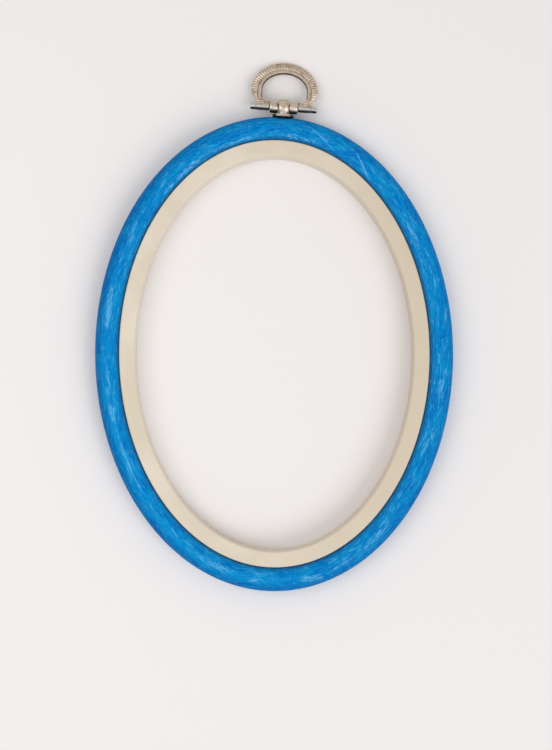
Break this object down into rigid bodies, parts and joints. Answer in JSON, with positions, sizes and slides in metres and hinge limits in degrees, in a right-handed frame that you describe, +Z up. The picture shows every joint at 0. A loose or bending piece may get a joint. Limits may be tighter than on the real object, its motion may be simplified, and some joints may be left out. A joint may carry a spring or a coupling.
{
  "type": "embroidery hoop",
  "caption": "Oval embroidery hoop: flexible domed blue ring over a rigid cream ring, with a hinged ribbed metal hanger on a pin at the top.",
  "frame": {"origin": "on the surface that the hoop's flat back rests on, under the middle of the whole length from the oval's bottom to the hanger's tip", "axes": "+Z up out of the hoop's domed front; +Y along the long axis of the oval, towards the hanger; +X to the right, across the oval"},
  "size_m": [0.1172, 0.1744, 0.009],
  "materials": {
    "vinyl": "flexible blue vinyl with moulded wood-grain streaks along the ring and fine scratches, satin",
    "cream_plastic": "rigid cream plastic, smooth and softly satin",
    "pale_brass": "pale antique brass plating, worn bright on the ribs and darker in the grooves",
    "nickel": "nickel-plated steel, satin"
  },
  "bodies": {
    "inner_hoop": {"inner_ring": "cream_plastic"},
    "outer_hoop": {"outer_ring": "vinyl", "saddle": "pale_brass", "saddle_screw": "nickel"},
    "hanger": {"bail": "pale_brass", "hinge_pin": "nickel", "collar_left": "pale_brass", "collar_right": "pale_brass"}
  },
  "joints": [
    {"name": "outer_ring_lift", "type": "slide", "parent": "inner_hoop", "child": "outer_hoop", "axis": [0, 0, 1], "range_m": [0, 0.02]},
    {"name": "hanger_swing", "type": "hinge", "parent": "outer_hoop", "child": "hanger", "pos_m": [0.00338, 0.07133, 0.0045], "axis": [0.9975, -0.0703, 0], "range_deg": [-108, 148]}
  ]
}
